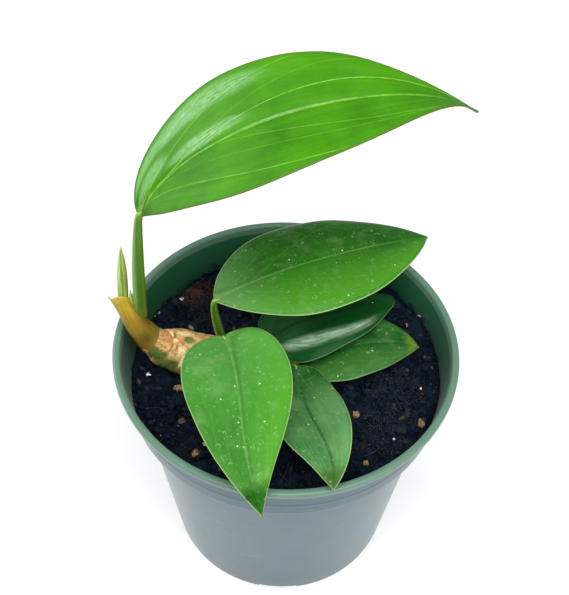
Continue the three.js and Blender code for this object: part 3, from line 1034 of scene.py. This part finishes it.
# ---- stem, sheath, shoot, stalks
# Oval patches on the stem: (place along, turn, half length, half turn), turns in radians.

GREEN_PATCHES = [(0.17, 4.6, 0.08, 0.42), (0.32, 3.05, 0.025, 0.28), (0.455, 3.25, 0.05, 0.16),
                 (0.26, 4.6, 0.05, 0.55), (0.354, 4.8, 0.07, 0.45), (0.61, 1.4, 0.055, 0.4),
                 (0.735, 3.6, 0.05, 0.4)]
CREAM_PATCHES = [(0.276, 2.7, 0.04, 0.3), (0.424, 2.85, 0.06, 0.2), (0.31, 3.3, 0.05, 0.12),
                 (0.41, 3.8, 0.05, 0.18), (0.533, 2.2, 0.06, 0.3), (0.689, 2.6, 0.05, 0.3),
                 (0.455, 4.3, 0.04, 0.3)]
SCARS = [(0.359, 3.67, 0.012, 0.18), (0.245, 2.4, 0.016, 0.9), (0.272, 3.5, 0.01, 0.6),
         (0.486, 3.9, 0.014, 0.4), (0.626, 3.0, 0.01, 1.2), (0.798, 3.0, 0.01, 1.2)]


def patches_at(s, angle, patches):
    """How far inside any of the oval patches (along, angle, half length, half turn) a point is."""
    inside = np.zeros_like(s)
    for along, turn, half_length, half_turn in patches:
        apart = (angle - turn + math.pi) % (2 * math.pi) - math.pi
        far = ((s - along) / half_length) ** 2 + (apart / half_turn) ** 2
        inside = np.maximum(inside, np.exp(-0.7 * far))
    return inside


def make_rhizome():
    """The creeping stem: joints, folds, gnarls, cracks and sunken scars."""
    def swell(s, angle):
        joints = sum(0.035 * np.exp(-((s - at) / 0.02) ** 2) for at in (0.626, 0.798))
        bulge = 0.05 * np.exp(-((s - 0.38) / 0.08) ** 2) * np.maximum(0, np.cos(angle - 4.2))
        folds = 0.02 * np.sin(5 * angle + 22 * s) + 0.012 * np.sin(9 * angle - 31 * s)
        return 1 + joints + bulge + folds * np.sin(math.pi * s)

    rows, sides = 180, 100
    points, faces, s, angle = tube(RHIZOME, rows, sides, swell)
    gnarl = turbulence(points, 5, 3, 4)
    furrow = abs(turbulence(points * (0.5, 1, 1), 3.4, 2, 6))
    crack = np.clip(1 - furrow / 0.045, 0, 1) * (turbulence(points, 9, 1, 8) > 0.05)
    scar = patches_at(s, angle, SCARS)
    middle = np.repeat(spline(RHIZOME, rows)[:, :3], sides, 0)
    outward = unit(points - middle + 1e-6)
    points = points + outward * (0.32 * gnarl - 0.16 * crack - 0.25 * scar)[:, None]
    stored = {
        "along": s, "angle": angle, "crack": crack, "height": points[:, 2], "scar": scar,
        "green": patches_at(s, angle, GREEN_PATCHES), "cream": patches_at(s, angle, CREAM_PATCHES),
    }
    build("creeping_stem", points + PLANT_AT, faces, rhizome_finish(),
          ["rhizome"], stored)


def make_sheath():
    """A bract rolled round the growing end, open on its upper side and pointed at the tip."""
    rows, sides = 120, 72
    s, angle = around(rows, sides)
    course = spline(SHEATH, rows)
    path, radius = course[:, :3], course[:, 3]
    across, up = tube_frames(path)
    # the mouth opens away from the front, with a small point on its outer side
    facing = (1 + np.cos(angle - math.pi / 2)) / 2
    point = np.exp(-(((angle - math.radians(186)) / 0.3) ** 2))
    mouth = 0.95 - 0.27 * facing + 0.07 * point
    start = SHEATH_SLANT * (1 + np.cos(angle - 0.3)) / 2
    station = np.clip(start + s * (mouth - start), 0, 1) * (rows - 1)

    def at(columns, where):
        return np.stack([np.interp(where, np.arange(rows), c) for c in columns.T], -1)

    middle = at(path, station)
    side_way, up_way = unit(at(across, station)), unit(at(up, station))
    reach = np.interp(station, np.arange(rows), radius)
    outward = side_way * np.cos(angle)[:, None] + up_way * np.sin(angle)[:, None]
    flare = 1 + 0.3 * s**6 * point + 0.05 * s**8
    outer = middle + outward * (reach * flare)[:, None]
    inner = middle + outward * (reach * flare - SHEATH_WALL)[:, None]
    inside = slice(rows // 2 * sides, None)  # the lining covers the outer half
    count, inner_rows = rows * sides, rows - rows // 2
    faces = grid_faces(rows, sides, wrap=True)
    faces += grid_faces(inner_rows, sides, wrap=True, first=count, flip=True)
    for j in range(sides):
        k = (j + 1) % sides
        top_outer, top_inner = (rows - 1) * sides, count + (inner_rows - 1) * sides
        faces.append((top_outer + j, top_outer + k, top_inner + k, top_inner + j))
    faces.append(tuple(range(sides))[::-1])
    faces.append(tuple(range(count, count + sides)))
    # the side toward the big stalk is olive, as is a patch low on the front
    olive = np.exp(-((angle - 0.15) / 0.7) ** 2) + np.exp(-((angle - 6.43) / 0.7) ** 2)
    olive = np.clip(olive * np.clip((0.8 - s) / 0.3, 0, 1) * np.clip((s - 0.2) / 0.2, 0, 1), 0, 1)
    low_patch = np.exp(-((angle - 5.2) / 0.4) ** 2 - ((s - 0.22) / 0.1) ** 2)
    olive = np.clip(olive + low_patch, 0, 1)
    stored = {
        "along": np.concatenate([station / (rows - 1), s[inside]]),
        "angle": np.concatenate([angle, angle[inside]]),
        "olive": np.concatenate([olive, np.zeros_like(s[inside])]),
    }
    points = np.vstack([outer, inner[inside]])
    points = points + 0.08 * turbulence(points, 2.5, 2, 3)[:, None]
    build("golden_sheath", points + PLANT_AT, faces, sheath_finish(),
          ["leaf_sheath"], stored)


def make_shoot(material):
    """The new leaf, rolled round itself so that one edge stands proud as a seam."""
    def past_seam(s, angle):
        return ((angle + 1.35 + 0.5 * s) / (2 * math.pi)) % 1

    def rolled(s, angle):
        return 0.84 + 0.22 * past_seam(s, angle)

    points, faces, s, angle = tube(SHOOT, 120, 72, rolled)
    turned = past_seam(s, angle)
    seam = np.clip(1 - np.minimum(turned, 1 - turned) / 0.06, 0, 1)
    stored = {"along": s, "angle": angle, "seam": seam}
    build("rolled_leaf", points + PLANT_AT, faces, material,
          ["new_shoot"], stored)


def make_stalk(number, leaf, material):
    """A leaf stalk: flattened above, swollen at the stem, running out under the midrib."""
    foot = np.array(leaf["foot"], float)
    tip, next_point = (np.array(p, float) for p in leaf["midrib"][:2])
    into_blade = unit(next_point - tip)
    length = np.linalg.norm(tip - foot)
    bend = foot + 0.55 * (tip - foot) - 0.025 * length * into_blade
    radius = leaf["stalk"]
    neck = tip - (0, 0, 0.7 * radius)
    under = tip + into_blade * 2.0 * radius - (0, 0, 0.8 * radius)
    end = tip + into_blade * 4.4 * radius - (0, 0, 0.5 * radius)
    stops = [(*foot, radius * 1.12), (*bend, radius), (*neck, radius * 0.66),
             (*under, radius * 0.4), (*end, radius * 0.12)]

    def groove(s, angle):
        return 1 - 0.1 * np.exp(-((angle - math.pi / 2) / 0.45) ** 2) * np.sin(math.pi * s)

    points, faces, s, angle = tube(stops, 90, 40, groove)
    build(f"leaf_{number}_stalk", points + PLANT_AT, faces, material,
          [f"leaf_{number}_petiole"], {"along": s, "angle": angle})


def make_stipule(material):
    """The pale sliver that stands beside the big leaf's stalk."""
    stops = [(-47.5, 3.4, 25.5, 0.7), (-47.7, 3.2, 29.5, 0.55), (-47.6, 3.0, 33.5, 0.08)]
    points, faces, s, angle = tube(stops, 40, 24)
    stored = {"along": s, "angle": angle, "seam": np.zeros_like(s)}
    build("stalk_stipule", points + PLANT_AT, faces, material, (), stored)


# ---- leaf looks


def look(deep, bright, lit, under, **changes):
    """The colours of one blade, with the usual values for what isn't named."""
    usual = dict(
        deep=deep, bright=bright, lit=lit, under=under,
        sunny=0.4, sunny_side=1, vein=0.7, vein_colour=(128, 178, 80),
        rib=0.8, rib_width=0.55, groove=0.3, groove_at=0.6,
        base=0.0, base_to=0.2, base_colour=deep,
        tip=0.0, tip_from=0.82, tip_colour=(36, 92, 4), margin=0.3,
        margin_strength=0.65, margin_colour=(172, 200, 130),
        dust=0.06, drops=0.2, haze=0.12, mark_and_sheen_colour=(140, 176, 112),
        rough=0.2, gloss=0.32, film=0.0, polished=[], polish=0.0,
    )
    usual.update(changes)
    return usual


LOOKS = [
    look((40, 106, 0), (70, 144, 0), (76, 150, 0), (96, 138, 60), sunny=0.3, rough=0.44, gloss=0.2,
         vein=0.85, vein_colour=(140, 196, 72), margin_colour=(96, 80, 44),
         margin=0.6, dust=0.01, drops=0.0, haze=0.02, base=0.85, base_to=0.1,
         base_colour=(22, 76, 22), polish=0.3,
         polished=[(0.3, 0.74, 0.2, 0.2), (0.11, 0.36, 0.08, 0.2), (0.3, 0.17, 0.12, 0.12),
                   (0.5, 0.02, 0.16, 0.014), (0.13, 0.75, 0.1, 0.14)]),
    look((14, 72, 2), (42, 112, 14), (72, 140, 32), (92, 132, 70), dust=0.04, drops=0.12,
         haze=0.16, vein_colour=(104, 156, 72), sunny=0.75, sunny_side=-1, rough=0.3,
         gloss=0.2, base=0.9, base_to=0.36, base_colour=(84, 134, 70)),
    look((46, 108, 30), (66, 136, 42), (76, 152, 24), (100, 142, 74), tip=1.0, tip_from=0.83,
         tip_colour=(22, 84, 0), sunny=0.6, dust=0.08, drops=0.26, haze=0.22, rough=0.42,
         vein_colour=(112, 168, 84), groove=0.6, rib=0.6, gloss=0.1,
         base=0.34, base_to=0.7, base_colour=(92, 150, 82)),
    look((0, 50, 12), (2, 76, 22), (8, 80, 24), (70, 108, 58), sunny=0.1, vein=0.3, rib=0.3,
         vein_colour=(40, 96, 50), margin_colour=(92, 132, 84), rough=0.36,
         dust=0.01, haze=0.02, drops=0.0, film=0.85, gloss=0.12),
    look((16, 68, 26), (44, 104, 38), (62, 114, 48), (80, 122, 66), vein=0.5, rib=0.5,
         sunny=0.7, sunny_side=-1, vein_colour=(92, 142, 80), tip=0.6, tip_from=0.84,
         tip_colour=(110, 138, 30), dust=0.02, margin_colour=(120, 146, 92), gloss=0.2),
    # The sixth leaf: its dark base is painted shade, and its smudges are partly a painted sheen.
    look((38, 94, 36), (86, 140, 80), (106, 160, 98), (88, 130, 74), sunny=0.5, vein=0.5,
         vein_colour=(130, 174, 116), haze=0.24, rough=0.4, groove=0.9, rib=0.25,
         base=1.0, base_to=0.35, base_colour=(4, 66, 16), tip=0.8, tip_from=0.85,
         tip_colour=(44, 84, 0), gloss=0.12),
]

# ---- assembly
set_camera()
set_studio()
make_pot()
make_soil(soil_finish())
ball_fine, ball_coarse = sphere_shape(4), sphere_shape(2)
lumps = {name: lump_finish(name, *tones) for name, tones in LUMP_TONES.items()}
ODD_BARK = {"bark_chip_4": "mossy_bark", "bark_chip_5": "rusty_bark"}
for node in sorted(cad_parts):
    if node.startswith("bark_chip"):
        make_lump(node, lumps[ODD_BARK.get(node, "bark")], ball_fine)
    elif node.startswith("perlite"):
        make_lump(node, lumps["perlite"], ball_fine)
make_lump("pebble", lumps["pebble_stone"], ball_fine)
make_crumbs(crumb_finish(), ball_coarse)
coir = lumps["coir"]
make_fibres("long_fibres", coir, seed=5, number=70, lengths=(3, 10), thickness=0.1)
FUZZY_SPOTS = [(36, -14, 10), (32, -4, 9), (-26, 22, 7), (-20, 32, 8), (30, -26, 8)]
make_fibres("fine_fibres", coir, seed=7, number=620, lengths=(1, 3.4), thickness=0.05,
            spots=FUZZY_SPOTS)
make_fibres("short_fibres", coir, seed=9, number=700, lengths=(0.8, 3), thickness=0.05)
rusty_x, rusty_y, _ = centre(*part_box("bark_chip_5")) / MM - PLANT_AT
make_fibres("rusty_fibres", lumps["rusty_bark"], seed=13, number=260, lengths=(1, 4),
            thickness=0.07, spots=[(rusty_x, rusty_y, 5.5)])

make_rhizome()
make_sheath()
shoot_material = shoot_finish()
make_shoot(shoot_material)
make_stipule(shoot_material)
stalk_material = stalk_finish("stalk_skin", (46, 98, 8), (148, 180, 74),
                              (112, 112, 34))
for number, (leaf, shape, tones) in enumerate(zip(LEAVES, BLADES, LOOKS), 1):
    make_stalk(number, leaf, stalk_material)
    points, faces, stored = shape
    tones["veins"] = leaf["veins"]
    build(f"leaf_{number}", points + PLANT_AT, faces, leaf_finish(f"leaf_{number}_skin", tones),
          [f"leaf_{number}_blade"], stored)
root_material = root_finish()
for node in sorted(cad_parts):
    if node.startswith("root_"):
        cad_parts[node].data.materials.clear()
        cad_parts[node].data.materials.append(root_material)
